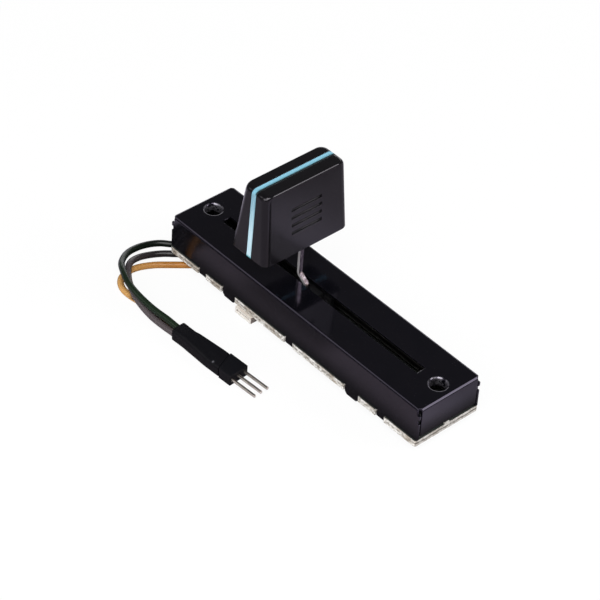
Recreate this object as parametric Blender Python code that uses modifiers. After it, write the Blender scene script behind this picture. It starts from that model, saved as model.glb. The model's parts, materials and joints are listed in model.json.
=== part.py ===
"""Slide potentiometer with a 45 mm travel, a two-part knob and a three-pin plug on short wires.

Units are metres and +Z is up. X runs along the slot, the origin lies under the middle of
the case on the surface that the part stands on.
"""
import math

import bmesh
import bpy
from mathutils import Matrix, Vector

# Heights
BOARD_CLEARANCE = 0.0014
BOARD_THICKNESS = 0.0012
CASE_HEIGHT = 0.00645

# Folded cover
SHEET = 0.0004
FOLD_RADIUS = 0.00045
SEAM_GAP = 0.0002
RELIEF_RADIUS = 0.00045
RELIEF_INSET = 0.00018
RELIEF_DEPTH = 0.0013
END_FLANGE_GAP = 0.0008
SEAM_NOTCH_DEPTH = 0.00035
SEAM_NOTCH_HEIGHT = 0.0009
SEAM_NOTCH_DROP = 0.0021

# Tabs that enter the board's edge
NARROW_TAB_WIDTH = 0.00175
NARROW_TAB_INSET = 0.0084
WIDE_TAB_WIDTH = 0.0032
WIDE_TAB_INSET = 0.0152
WIDE_TAB_REACH = 0.00065
TAB_CHAMFER = 0.0005
TAB_CLEARANCE = 0.0001

# Screw collars drawn down from the cover
SCREW_INSET = 0.0029
SCREW_HOLE_RADIUS = 0.00143
COLLAR_WALL = 0.00042
COLLAR_LIP = 0.0005
COLLAR_DEPTH = 0.0017

# Board
BOARD_END_INSET = 0.0001
BOARD_SIDE_OVERHANG = 0.00025
BOARD_CORNER = 0.0004
BOARD_NIB_WIDTH = 0.0010
BOARD_NIB_DEPTH = 0.0003
BOARD_NIB_HEIGHT = 0.0004

# Travel, rods and carriage
TRAVEL = 0.0450
REST_X = -0.0040
ROD_RADIUS = 0.0010
ROD_SPACING = 0.0080
ROD_HEIGHT = 0.0026
CARRIAGE_LENGTH = 0.0080
CARRIAGE_SIDE_CLEARANCE = 0.0004
CARRIAGE_FLOOR = 0.0012
CARRIAGE_THICKNESS = 0.0026
SLEEVE_WALL = 0.0008
BOSS_LENGTH = 0.0052
BOSS_WIDTH = 0.0034
BOSS_TOP_GAP = 0.0014
BUMPER_LENGTH = 0.0008
BUMPER_WALL = 0.0008
STOP_CLEARANCE = 0.0002
HOLDER_WALL = 0.0024
HOLDER_COLLAR_CLEARANCE = 0.00045
HOLDER_WEB = 0.0009
HOLDER_HEIGHT = 0.0050
PEG_RADIUS = 0.0006
PEG_SPACING = 0.0050
ROD_SEAT_FLOOR = 0.0009

# Fits, and the distance at which points of one mesh are the same point
SEAT_GAP = 0.00005
RUNNING_GAP = 0.00005
WELD = 0.000001

# Stem, in places measured from the carriage's middle
STEM_THICKNESS = 0.00055
STEM_WIDTH = 0.00078
STEM_FOOT_X = 0.00045
STEM_HEAD_X = -0.00155
STEM_RISE = 0.0007
STEM_DROP = 0.0007
STEM_BEND_RADIUS = 0.0005
STEM_FOOT_DEPTH = 0.0022
SLOT_SIDE_CLEARANCE = 0.00055
SLOT_END_CLEARANCE = 0.00055

# Knob: the front and rear sizes are measured from the stripe's middle
KNOB_X = -0.00424
KNOB_LIFT = 0.00668
KNOB_HEIGHT = 0.0134
KNOB_FRONT_BASE = 0.0040
KNOB_FRONT_TOP = 0.0029
KNOB_REAR_BASE = 0.0047
KNOB_REAR_TOP = 0.0026
KNOB_BASE_WIDTH = 0.0181
KNOB_TOP_WIDTH = 0.0171
KNOB_SHOULDER_RADIUS = 0.0009
KNOB_CORNER_RADIUS = 0.00125
KNOB_EDGE_RADIUS = 0.00025
STRIPE_THICKNESS = 0.0011
STEM_HEAD_DEPTH = 0.0030
GROOVE_COUNT = 4
GROOVE_LENGTH = 0.0064
GROOVE_WIDTH = 0.0006
GROOVE_PITCH = 0.0015
GROOVE_DEPTH = 0.00035
CORING_DEPTH = 0.0022
CORING_WALL = 0.0009

# Tracks and wipers
TRACK_WIDTH = 0.0020
TRACK_SPACING = 0.0032
TRACK_THICKNESS = 0.00012
WIPER_SHEET = 0.00015
WIPER_WIDTH = 0.0013
WIPER_LENGTH = 0.0060

# Parts under the board
SOCKET_LENGTH = 0.0040
SOCKET_DEPTH = 0.0032
SOCKET_HEIGHT = 0.0013
SOCKET_INSET = 0.0196
SOCKET_STICK_OUT = 0.00065
SOLDER_RADIUS = 0.00075
SOLDER_HEIGHT = 0.0011

# Wires: routes are places along each wire's centre line
WIRE_DIAMETER = 0.00115
WIRE_STEP = 0.0027
GREEN_ROUTE = (
    (-0.02890, -0.00090, 0.00072), (-0.03050, -0.00290, 0.00066), (-0.03230, -0.00500, 0.00066),
    (-0.03365, -0.00640, 0.00070), (-0.03450, -0.00830, 0.00085), (-0.03465, -0.01080, 0.00125),
    (-0.03390, -0.01350, 0.00185), (-0.03195, -0.01615, 0.00255), (-0.02935, -0.01775, 0.00300),
    (-0.02660, -0.01884, 0.00300), (-0.02330, -0.01932, 0.00279), (-0.01980, -0.01917, 0.00229),
    (-0.01640, -0.01875, 0.00200), (-0.01440, -0.01863, 0.00184), (-0.01100, -0.01845, 0.00182),
)
GREY_ROUTE = (
    (-0.02690, -0.00220, 0.00072), (-0.02840, -0.00410, 0.00062), (-0.02985, -0.00600, 0.00062),
    (-0.03120, -0.00760, 0.00062), (-0.03230, -0.00970, 0.00070), (-0.03255, -0.01220, 0.00115),
    (-0.03155, -0.01475, 0.00184), (-0.02945, -0.01670, 0.00184), (-0.02690, -0.01820, 0.00184),
    (-0.02330, -0.01940, 0.00165), (-0.01970, -0.01968, 0.00110), (-0.01660, -0.01946, 0.00082),
    (-0.01440, -0.01926, 0.00080), (-0.01100, -0.01906, 0.00080),
)
ORANGE_ROUTE = (
    (-0.02360, -0.00260, 0.00072), (-0.02480, -0.00420, 0.00060), (-0.02620, -0.00600, 0.00060),
    (-0.02850, -0.00890, 0.00060), (-0.02990, -0.01080, 0.00060), (-0.03095, -0.01300, 0.00060),
    (-0.03125, -0.01490, 0.00060), (-0.03085, -0.01680, 0.00060), (-0.02980, -0.01805, 0.00060),
    (-0.02810, -0.01880, 0.00060), (-0.02590, -0.01885, 0.00060), (-0.02320, -0.01845, 0.00060),
    (-0.01950, -0.01830, 0.00062), (-0.01650, -0.01816, 0.00070), (-0.01440, -0.01802, 0.00080),
    (-0.01100, -0.01784, 0.00080),
)

# Plug
PLUG_FRONT_X = 0.0004
PLUG_Y = -0.0177
PLUG_TURN = math.radians(3.2)
PLUG_MIDDLE = 0.0011
BLOCK_WIDTH = 0.0040
BLOCK_HEIGHT = 0.0021
BLOCK_LENGTH = 0.0020
BLOCK_NECK_LENGTH = 0.0036
PIN_SIZE = 0.00046
PIN_PITCH = 0.0014
PIN_REACH = 0.0053
PIN_TAIL = 0.0012
SLEEVE_SHEET = 0.00013
SLEEVE_CORNER = 0.0006
SLEEVE_BIAS = 0.0007
SLEEVE_SECTIONS = (
    (-0.0035, -0.00005, 0.00400, 0.00220),
    (-0.0057, -0.00005, 0.00400, 0.00220),
    (-0.0066, -0.00008, 0.00388, 0.00224),
    (-0.0082, -0.00015, 0.00356, 0.00246),
    (-0.0106, -0.00022, 0.00318, 0.00264),
    (-0.0114, -0.00027, 0.00296, 0.00266),
    (-0.0128, -0.00026, 0.00294, 0.00266),
    (-0.0141, -0.00024, 0.00300, 0.00268),
)

# Levels and places that follow from the sizes above
Z_BOARD_BOTTOM = BOARD_CLEARANCE
Z_BOARD_TOP = Z_BOARD_BOTTOM + BOARD_THICKNESS
Z_COVER_TOP = Z_BOARD_TOP + CASE_HEIGHT
Z_TAB_END = Z_BOARD_BOTTOM - WIDE_TAB_REACH
Z_ROD = Z_BOARD_TOP + ROD_HEIGHT
Z_PLATE_UNDER = Z_COVER_TOP - SHEET
CARRIAGE_STOP = (TRAVEL + CARRIAGE_LENGTH) / 2.0
BUMPER_X = CARRIAGE_STOP + STOP_CLEARANCE
HOLDER_FACE = BUMPER_X + BUMPER_LENGTH + SEAT_GAP
HOLDER_BACK = HOLDER_FACE + HOLDER_WALL
HOLDER_GAP = (SCREW_HOLE_RADIUS + COLLAR_WALL + HOLDER_COLLAR_CLEARANCE) * 2.0
ROD_END = HOLDER_BACK - ROD_SEAT_FLOOR - SEAT_GAP
ROD_SLEEVE_RADIUS = ROD_RADIUS + RUNNING_GAP + SLEEVE_WALL
CARRIAGE_WIDTH = ROD_SPACING + ROD_SLEEVE_RADIUS * 2.0
CASE_LENGTH = (HOLDER_BACK + SEAT_GAP + SHEET) * 2.0
CASE_WIDTH = CARRIAGE_WIDTH + (CARRIAGE_SIDE_CLEARANCE + SHEET) * 2.0
SCREW_PITCH = CASE_LENGTH - SCREW_INSET * 2.0
CURVE_STEPS = 6
ROUND_SIDES = 24


def clear_scene():
    """Empty the file of objects so that a rerun starts clean."""
    for old in list(bpy.data.objects):
        bpy.data.objects.remove(old, do_unlink=True)


def make_material(name, color, roughness, metallic=0.0):
    material = bpy.data.materials.new(name)
    material.use_nodes = True
    shader = material.node_tree.nodes["Principled BSDF"]
    shader.inputs["Base Color"].default_value = (*color, 1.0)
    shader.inputs["Roughness"].default_value = roughness
    shader.inputs["Metallic"].default_value = metallic
    return material


def link(collection, name, mesh, material=None, location=(0, 0, 0), parent=None):
    """Put a mesh into a collection as a named object."""
    piece = bpy.data.objects.new(name, mesh)
    collection.objects.link(piece)
    piece.location = location
    piece.parent = parent
    if material is not None:
        mesh.materials.append(material)
    return piece


def mesh_from(bm, name):
    bmesh.ops.recalc_face_normals(bm, faces=bm.faces)
    mesh = bpy.data.meshes.new(name)
    bm.to_mesh(mesh)
    bm.free()
    return mesh


def box_mesh(name, low, high):
    """A box between two corners."""
    bm = bmesh.new()
    bmesh.ops.create_cube(bm, size=1.0)
    low, high = Vector(low), Vector(high)
    bmesh.ops.scale(bm, vec=high - low, verts=bm.verts)
    bmesh.ops.translate(bm, vec=(low + high) / 2.0, verts=bm.verts)
    return mesh_from(bm, name)


def cylinder_mesh(name, radius, length, axis="Z", sides=ROUND_SIDES, centre=(0, 0, 0)):
    """A cylinder about its middle, along X, Y or Z."""
    bm = bmesh.new()
    bmesh.ops.create_cone(bm, cap_ends=True, segments=sides, radius1=radius, radius2=radius, depth=length)
    turn = {"X": Matrix.Rotation(math.pi / 2, 3, "Y"), "Y": Matrix.Rotation(math.pi / 2, 3, "X"),
            "Z": Matrix.Identity(3)}[axis]
    bmesh.ops.rotate(bm, matrix=turn, verts=bm.verts)
    bmesh.ops.translate(bm, vec=centre, verts=bm.verts)
    return mesh_from(bm, name)


def evaluated_mesh(piece):
    """The mesh that an object's modifiers or curve settings give, with its seams welded."""
    graph = bpy.context.evaluated_depsgraph_get()
    mesh = bpy.data.meshes.new_from_object(piece.evaluated_get(graph))
    bm = bmesh.new()
    bm.from_mesh(mesh)
    bmesh.ops.remove_doubles(bm, verts=bm.verts, dist=WELD)
    bmesh.ops.recalc_face_normals(bm, faces=bm.faces)
    bm.to_mesh(mesh)
    bm.free()
    return mesh


def outline_mesh(name, points, thickness, plane="XY", place=(0, 0, 0)):
    """A flat outline given a thickness: a filled 2D curve, extruded to both sides.

    The outline lies in XY, XZ or YZ, and the thickness runs along the third axis.
    """
    curve = bpy.data.curves.new(name, "CURVE")
    curve.dimensions = "2D"
    curve.fill_mode = "BOTH"
    curve.extrude = thickness / 2.0
    spline = curve.splines.new("POLY")
    spline.points.add(len(points) - 1)
    for spot, (u, v) in zip(spline.points, points):
        spot.co = (u, v, 0.0, 1.0)
    spline.use_cyclic_u = True
    guide = bpy.data.objects.new(name, curve)
    bpy.context.scene.collection.objects.link(guide)
    bpy.context.view_layer.update()
    mesh = evaluated_mesh(guide)
    bpy.data.objects.remove(guide, do_unlink=True)
    turns = {
        "XY": Matrix.Identity(4),
        "XZ": Matrix.Rotation(math.pi / 2, 4, "X"),
        "YZ": Matrix.Rotation(math.pi / 2, 4, "Z") @ Matrix.Rotation(math.pi / 2, 4, "X"),
    }
    mesh.transform(Matrix.Translation(place) @ turns[plane])
    return mesh


def turned_mesh(name, profile, sides=ROUND_SIDES):
    """A solid turned about Z from a profile of (radius, height) points, top to bottom."""
    bm = bmesh.new()
    row = [bm.verts.new((radius, 0.0, height)) for radius, height in profile]
    for a, b in zip(row, row[1:]):
        bm.edges.new((a, b))
    mesh = bpy.data.meshes.new(name)
    bm.to_mesh(mesh)
    bm.free()
    guide = bpy.data.objects.new(name, mesh)
    bpy.context.scene.collection.objects.link(guide)
    screw = guide.modifiers.new("turn", "SCREW")
    screw.steps = sides
    screw.render_steps = sides
    screw.use_merge_vertices = True
    screw.merge_threshold = WELD
    bpy.context.view_layer.update()
    result = evaluated_mesh(guide)
    bpy.data.objects.remove(guide, do_unlink=True)
    return result


def arc(centre, radius, start, end, steps=CURVE_STEPS):
    """Points on an arc, angles in degrees, both ends included."""
    angles = [math.radians(start + (end - start) * k / steps) for k in range(steps + 1)]
    return [(centre[0] + radius * math.cos(a), centre[1] + radius * math.sin(a)) for a in angles]


def combine(piece, operation, tools):
    """Cut tool meshes from a piece, or join them to it, with one Boolean modifier each."""
    cutters = bpy.data.collections["cutters"]
    for number, tool in enumerate(tools):
        guide = link(cutters, f"{piece.name}_{operation.lower()}_{len(piece.modifiers)}_{number}", tool)
        guide.parent = piece.parent
        guide.location = piece.location
        guide.rotation_euler = piece.rotation_euler
        guide.hide_render = True
        guide.display_type = "WIRE"
        step = piece.modifiers.new(f"{operation.lower()}_{number}", "BOOLEAN")
        step.operation = operation
        step.solver = "EXACT"
        step.object = guide


def smooth(piece, angle=35.0):
    piece.data.shade_smooth()
    piece.data.set_sharp_from_angle(angle=math.radians(angle))


def both_signs(value):
    return (-value, value)


# Case cover

def tab_list():
    """Each tab's middle, width and lower end, from left to right."""
    narrow = (NARROW_TAB_WIDTH, Z_BOARD_BOTTOM, 0.0)
    wide = (WIDE_TAB_WIDTH, Z_TAB_END, TAB_CHAMFER)
    outer = CASE_LENGTH / 2.0 - NARROW_TAB_INSET
    inner = CASE_LENGTH / 2.0 - WIDE_TAB_INSET
    places = ((-outer, narrow), (-inner, wide), (0.0, narrow), (inner, wide), (outer, narrow))
    return [(x, *shape) for x, shape in places]


def stem_centre_line():
    """The stem's path in X and Z, from its foot in the carriage to its head in the knob."""
    foot_z = Z_PLATE_UNDER - BOSS_TOP_GAP - STEM_FOOT_DEPTH + SEAT_GAP
    return [
        (STEM_FOOT_X, foot_z),
        (STEM_FOOT_X, Z_COVER_TOP - STEM_DROP),
        (STEM_HEAD_X, Z_COVER_TOP + STEM_RISE),
        (STEM_HEAD_X, Z_COVER_TOP + KNOB_LIFT + STEM_HEAD_DEPTH - SEAT_GAP),
    ]


def stem_slot_span():
    """The lowest and highest X that the stem takes in the cover's slot, from the carriage's middle."""
    (_, _), (x0, z0), (x1, z1), (_, _) = stem_centre_line()
    slope = (x1 - x0) / (z1 - z0)
    half = STEM_THICKNESS / 2.0 * math.hypot(1.0, slope)
    at_under = x0 + slope * (Z_PLATE_UNDER - z0)
    at_top = x0 + slope * (Z_COVER_TOP - z0)
    return min(at_under, at_top) - half, max(at_under, at_top) + half


def slot_ends():
    low, high = stem_slot_span()
    reach = TRAVEL / 2.0 + SLOT_END_CLEARANCE
    return low - reach, high + reach


def flange_edge_cutter():
    """What is cut away below the side flanges: the board's seat, with the tabs left standing."""
    past = CASE_LENGTH
    deep = Z_TAB_END - SHEET
    seat = Z_BOARD_TOP + SEAT_GAP
    points = [(-past, deep), (-past, seat)]
    for x, width, end, chamfer in tab_list():
        left, right = x - width / 2.0, x + width / 2.0
        points.append((left, seat))
        if chamfer > 0.0:
            points += [(left, end + chamfer), (left + chamfer, end)]
            points += [(right - chamfer, end), (right, end + chamfer)]
        else:
            points += [(left, end), (right, end)]
        points.append((right, seat))
    points += [(past, seat), (past, deep)]
    return outline_mesh("flange_edge", points, CASE_WIDTH * 2.0, "XZ")


def seam_cutters():
    """Open seams, notches and round reliefs at the four folded corners."""
    tools = []
    inner_x = CASE_LENGTH / 2.0 - SHEET
    inner_y = CASE_WIDTH / 2.0 - SHEET
    past = CASE_LENGTH / 2.0 + SHEET
    for side_x in (-1.0, 1.0):
        for side_y in (-1.0, 1.0):
            xs = sorted((side_x * (inner_x - SHEET), side_x * past))
            ys = sorted((side_y * (inner_y - SEAM_GAP), side_y * inner_y))
            top = Z_COVER_TOP - FOLD_RADIUS
            tools.append(box_mesh("seam", (xs[0], ys[0], 0.0), (xs[1], ys[1], top)))
            corner_x = side_x * (CASE_LENGTH / 2.0 - RELIEF_INSET)
            corner_y = side_y * (CASE_WIDTH / 2.0 - RELIEF_INSET)
            tools.append(cylinder_mesh("relief", RELIEF_RADIUS, RELIEF_DEPTH * 2.0, "Z",
                                       centre=(corner_x, corner_y, Z_COVER_TOP)))
            xs = sorted((side_x * (CASE_LENGTH / 2.0 - SEAM_NOTCH_DEPTH), side_x * past))
            ys = sorted((side_y * (inner_y - SEAM_GAP / 2.0), side_y * CASE_WIDTH))
            top = Z_COVER_TOP - SEAM_NOTCH_DROP
            tools.append(box_mesh("seam_notch", (xs[0], ys[0], top - SEAM_NOTCH_HEIGHT), (xs[1], ys[1], top)))
    return tools


def end_edge_cutters():
    """The end flanges stop short of the board."""
    tools = []
    inner_x = CASE_LENGTH / 2.0 - SHEET
    half = CASE_WIDTH / 2.0 - SHEET - SEAM_GAP / 2.0
    edge = Z_BOARD_TOP + END_FLANGE_GAP
    for side in (-1.0, 1.0):
        xs = sorted((side * (inner_x - SHEET), side * CASE_LENGTH))
        tools.append(box_mesh("end_edge", (xs[0], -half, 0.0), (xs[1], half, edge)))
    return tools


def screw_funnel(x):
    """The drawn hole: a rounded lip that turns down into a straight bore."""
    lip = SCREW_HOLE_RADIUS + COLLAR_LIP
    top = Z_COVER_TOP
    profile = [(0.0, top + SHEET), (lip, top + SHEET), (lip, top + SHEET / 10.0)]
    profile += arc((lip, top - COLLAR_LIP), COLLAR_LIP, 90.0, 180.0, 5)
    profile += [(SCREW_HOLE_RADIUS, top - COLLAR_DEPTH - SHEET), (0.0, top - COLLAR_DEPTH - SHEET)]
    mesh = turned_mesh("screw_funnel", profile)
    mesh.transform(Matrix.Translation((x, 0.0, 0.0)))
    return mesh


def build_cover(parts, material):
    """One folded sheet: an open box with its top edges rounded, then given its thickness."""
    bm = bmesh.new()
    bmesh.ops.create_cube(bm, size=1.0)
    height = Z_COVER_TOP - Z_TAB_END
    bmesh.ops.scale(bm, vec=(CASE_LENGTH, CASE_WIDTH, height), verts=bm.verts)
    bmesh.ops.translate(bm, vec=(0.0, 0.0, Z_TAB_END + height / 2.0), verts=bm.verts)
    bottom = [face for face in bm.faces if face.normal.z < -0.5]
    bmesh.ops.delete(bm, geom=bottom, context="FACES_ONLY")
    weights = bm.edges.layers.float.new("bevel_weight_edge")
    for edge in bm.edges:
        at_top = all(vert.co.z > Z_COVER_TOP - SHEET for vert in edge.verts)
        edge[weights] = 1.0 if at_top else 0.0
    cover = link(parts, "case_cover", mesh_from(bm, "case_cover"), material)
    fold = cover.modifiers.new("fold", "BEVEL")
    fold.limit_method = "WEIGHT"
    fold.width = FOLD_RADIUS
    fold.segments = 4
    sheet = cover.modifiers.new("sheet", "SOLIDIFY")
    sheet.thickness = SHEET
    sheet.offset = -1.0
    sheet.use_even_offset = True
    collars = []
    for x in both_signs(SCREW_PITCH / 2.0):
        start = Z_COVER_TOP - SHEET / 2.0
        depth = start - (Z_COVER_TOP - COLLAR_DEPTH)
        collars.append(cylinder_mesh("collar", SCREW_HOLE_RADIUS + COLLAR_WALL, depth, "Z",
                                     centre=(x, 0.0, start - depth / 2.0)))
    combine(cover, "UNION", collars)
    low, high = slot_ends()
    half_slot = STEM_WIDTH / 2.0 + SLOT_SIDE_CLEARANCE
    slot = box_mesh("slot", (low, -half_slot, Z_PLATE_UNDER - SHEET),
                    (high, half_slot, Z_COVER_TOP + SHEET))
    cuts = [flange_edge_cutter(), slot]
    cuts += [screw_funnel(x) for x in both_signs(SCREW_PITCH / 2.0)]
    cuts += seam_cutters() + end_edge_cutters()
    combine(cover, "DIFFERENCE", cuts)
    return cover


# Board and its printed tracks

def board_outline():
    """The board's outline, with a notch for each tab along both long edges."""
    half_x = CASE_LENGTH / 2.0 - BOARD_END_INSET
    half_y = CASE_WIDTH / 2.0 + BOARD_SIDE_OVERHANG
    depth = BOARD_SIDE_OVERHANG + SHEET + TAB_CLEARANCE
    front = arc((-half_x + BOARD_CORNER, -half_y + BOARD_CORNER), BOARD_CORNER, 180.0, 270.0, 3)
    for x, width, _, _ in tab_list():
        left = x - width / 2.0 - TAB_CLEARANCE
        right = x + width / 2.0 + TAB_CLEARANCE
        soft = TAB_CLEARANCE
        front += [(left - soft, -half_y), (left, -half_y + soft), (left, -half_y + depth)]
        front += [(right, -half_y + depth), (right, -half_y + soft), (right + soft, -half_y)]
    front += arc((half_x - BOARD_CORNER, -half_y + BOARD_CORNER), BOARD_CORNER, 270.0, 360.0, 3)
    return front + [(-x, -y) for x, y in front]


def peg_places(side):
    x = side * (HOLDER_FACE + HOLDER_BACK) / 2.0
    return [(x, y) for y in both_signs(PEG_SPACING / 2.0)]


def build_board(parts, material):
    """The board closes the cover from below, with a small nib at the middle of each end."""
    middle = (0.0, 0.0, (Z_BOARD_BOTTOM + Z_BOARD_TOP) / 2.0)
    mesh = outline_mesh("circuit_board", board_outline(), BOARD_THICKNESS, "XY", middle)
    board = link(parts, "circuit_board", mesh, material)
    nibs = []
    for side in (-1.0, 1.0):
        end = CASE_LENGTH / 2.0 - BOARD_END_INSET
        xs = sorted((side * end, side * (end - BOARD_NIB_DEPTH)))
        nibs.append(box_mesh("nib", (xs[0], -BOARD_NIB_WIDTH / 2.0, middle[2]),
                             (xs[1], BOARD_NIB_WIDTH / 2.0, Z_BOARD_TOP + BOARD_NIB_HEIGHT)))
    combine(board, "UNION", nibs)
    holes = []
    for side in (-1.0, 1.0):
        for x, y in peg_places(side):
            holes.append(cylinder_mesh("peg_hole", PEG_RADIUS + SEAT_GAP, BOARD_THICKNESS * 3.0, "Z",
                                       sides=16, centre=(x, y, middle[2])))
    combine(board, "DIFFERENCE", holes)
    return board


def build_tracks(parts, carbon, silver):
    length = TRAVEL + CARRIAGE_LENGTH
    low = Z_BOARD_TOP + SEAT_GAP
    for name, y, material in (("resistive_track", -TRACK_SPACING / 2.0, carbon),
                              ("collector_track", TRACK_SPACING / 2.0, silver)):
        mesh = box_mesh(name, (-length / 2.0, y - TRACK_WIDTH / 2.0, low),
                        (length / 2.0, y + TRACK_WIDTH / 2.0, low + TRACK_THICKNESS))
        link(parts, name, mesh, material)


# Rods, their holders and the bumpers

def build_rods(parts, material):
    for name, y in (("guide_rod_front", -ROD_SPACING / 2.0), ("guide_rod_rear", ROD_SPACING / 2.0)):
        mesh = cylinder_mesh(name, ROD_RADIUS, ROD_END * 2.0, "X")
        smooth(link(parts, name, mesh, material, (0.0, y, Z_ROD)))


def build_holders(parts, material):
    """End blocks with two posts that leave room between them for a mounting screw."""
    half = CASE_WIDTH / 2.0 - SHEET - SEAT_GAP * 2.0
    gap = HOLDER_GAP / 2.0
    low = Z_BOARD_TOP + SEAT_GAP
    high = Z_BOARD_TOP + HOLDER_HEIGHT
    web = low + HOLDER_WEB
    round_off = ROD_RADIUS / 2.0
    right_post = [(gap, web), (gap, high)]
    right_post += arc((half - round_off, high - round_off), round_off, 90.0, 0.0, 3)
    outline = [(-half, low), (half, low)] + right_post[::-1] + [(-y, z) for y, z in right_post]
    for name, side in (("rod_holder_left", -1.0), ("rod_holder_right", 1.0)):
        middle = side * (HOLDER_FACE + HOLDER_BACK) / 2.0
        mesh = outline_mesh(name, outline, HOLDER_WALL, "YZ", (middle, 0.0, 0.0))
        holder = link(parts, name, mesh, material)
        pegs = []
        for x, y in peg_places(side):
            top = low + HOLDER_WEB / 2.0
            pegs.append(cylinder_mesh("peg", PEG_RADIUS, top, "Z", sides=16, centre=(x, y, top / 2.0)))
        combine(holder, "UNION", pegs)
        bores = []
        for y in both_signs(ROD_SPACING / 2.0):
            depth = (HOLDER_WALL - ROD_SEAT_FLOOR) * 2.0
            seat = (side * HOLDER_FACE, y, Z_ROD)
            bores.append(cylinder_mesh("rod_seat", ROD_RADIUS + SEAT_GAP, depth, "X", centre=seat))
        combine(holder, "DIFFERENCE", bores)


def build_bumpers(parts, material):
    """Rubber rings on the rods, against the holders."""
    ring = [(ROD_RADIUS + SEAT_GAP, BUMPER_LENGTH / 2.0), (ROD_RADIUS + BUMPER_WALL, BUMPER_LENGTH / 2.0)]
    ring += [(radius, -height) for radius, height in reversed(ring)]
    ring.append(ring[0])
    for end, side in (("left", -1.0), ("right", 1.0)):
        for row, y in (("front", -ROD_SPACING / 2.0), ("rear", ROD_SPACING / 2.0)):
            name = f"bumper_{row}_{end}"
            mesh = turned_mesh(name, ring)
            mesh.transform(Matrix.Rotation(math.pi / 2, 4, "Y"))
            place = (side * (BUMPER_X + BUMPER_LENGTH / 2.0), y, Z_ROD)
            smooth(link(parts, name, mesh, material, place))


# Slider: carriage, stem, wipers and knob

def strip_outline(path, thickness, radius, steps=CURVE_STEPS):
    """The outline of a bent strip: straight runs with rounded corners, offset to both sides."""
    half = thickness / 2.0
    sides = ([], [])
    runs = [Vector((b[0] - a[0], b[1] - a[1])).normalized() for a, b in zip(path, path[1:])]
    for side, sign in zip(sides, (1.0, -1.0)):
        start = Vector(path[0]) + sign * half * Vector((-runs[0].y, runs[0].x))
        side.append(tuple(start))
        for corner, before, after in zip(path[1:-1], runs, runs[1:]):
            turn = before.angle_signed(after)
            inside = radius if turn * sign < 0 else radius + thickness
            middle_radius = radius + half
            setback = middle_radius * math.tan(abs(turn) / 2.0)
            bend = -1.0 if turn > 0 else 1.0
            centre = Vector(corner) - before * setback
            centre += bend * middle_radius * Vector((-before.y, before.x))
            first = math.atan2(-bend * before.x, bend * before.y)
            for k in range(steps + 1):
                angle = first - turn * k / steps
                side.append((centre.x + inside * math.cos(angle), centre.y + inside * math.sin(angle)))
        end = Vector(path[-1]) + sign * half * Vector((-runs[-1].y, runs[-1].x))
        side.append(tuple(end))
    return sides[0] + sides[1][::-1]


def build_stem(parts, material, slider):
    path = [(x, z - Z_ROD) for x, z in stem_centre_line()]
    outline = strip_outline(path, STEM_THICKNESS, STEM_BEND_RADIUS)
    mesh = outline_mesh("stem", outline, STEM_WIDTH, "XZ")
    smooth(link(parts, "stem", mesh, material, parent=slider))


def build_carriage(parts, material, slider):
    """A flat slider body with a sleeve round each rod and a boss under the slot for the stem's foot."""
    floor = Z_BOARD_TOP + CARRIAGE_FLOOR - Z_ROD
    ceiling = floor + CARRIAGE_THICKNESS
    sleeve = ROD_SLEEVE_RADIUS
    rod_y = ROD_SPACING / 2.0
    lean = math.degrees(math.asin(max(-1.0, min(1.0, floor / sleeve))))
    top_lean = math.degrees(math.asin(max(-1.0, min(1.0, ceiling / sleeve))))
    right = arc((rod_y, 0.0), sleeve, lean, top_lean, 10)
    web = SLEEVE_WALL
    outline = list(right)
    inner = rod_y - sleeve
    outline += [(inner, ceiling), (inner, ceiling - web), (-inner, ceiling - web), (-inner, ceiling)]
    outline += [(-y, z) for y, z in reversed(right)]
    mesh = outline_mesh("carriage", outline, CARRIAGE_LENGTH, "YZ")
    carriage = link(parts, "carriage", mesh, material, parent=slider)
    boss_top = Z_PLATE_UNDER - BOSS_TOP_GAP - Z_ROD
    boss = box_mesh("boss", (-BOSS_LENGTH / 2.0, -BOSS_WIDTH / 2.0, floor + web),
                    (BOSS_LENGTH / 2.0, BOSS_WIDTH / 2.0, boss_top))
    combine(carriage, "UNION", [boss])
    cuts = [cylinder_mesh("bore", ROD_RADIUS + RUNNING_GAP, CARRIAGE_LENGTH * 2.0, "X", centre=(0.0, y, 0.0))
            for y in both_signs(rod_y)]
    half_x = STEM_THICKNESS / 2.0 + SEAT_GAP
    half_y = STEM_WIDTH / 2.0 + SEAT_GAP
    cuts.append(box_mesh("stem_seat", (STEM_FOOT_X - half_x, -half_y, boss_top - STEM_FOOT_DEPTH),
                         (STEM_FOOT_X + half_x, half_y, boss_top + web)))
    combine(carriage, "DIFFERENCE", cuts)


def build_wipers(parts, material, slider):
    """Spring contacts: a flat foot under the carriage and a finger that curves down to its track."""
    foot = Z_BOARD_TOP + CARRIAGE_FLOOR - SEAT_GAP - WIPER_SHEET / 2.0 - Z_ROD
    touch = Z_BOARD_TOP + SEAT_GAP * 2.0 + TRACK_THICKNESS + WIPER_SHEET / 2.0 - Z_ROD
    half = WIPER_LENGTH / 2.0
    path = [(half, foot), (0.0, foot), (-half + WIPER_LENGTH / 8.0, touch),
            (-half, touch + WIPER_LENGTH / 16.0)]
    outline = strip_outline(path, WIPER_SHEET, WIPER_SHEET * 2.0, 3)
    for name, y in (("wiper_front", -TRACK_SPACING / 2.0), ("wiper_rear", TRACK_SPACING / 2.0)):
        mesh = outline_mesh(name, outline, WIPER_WIDTH, "XZ", (0.0, y, 0.0))
        smooth(link(parts, name, mesh, material, parent=slider))


def shrink(distance, radius):
    """How far a quarter round pulls a side in, at a distance from its end."""
    if distance >= radius:
        return 0.0
    return radius - math.sqrt(max(0.0, radius ** 2 - (radius - distance) ** 2))


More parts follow.
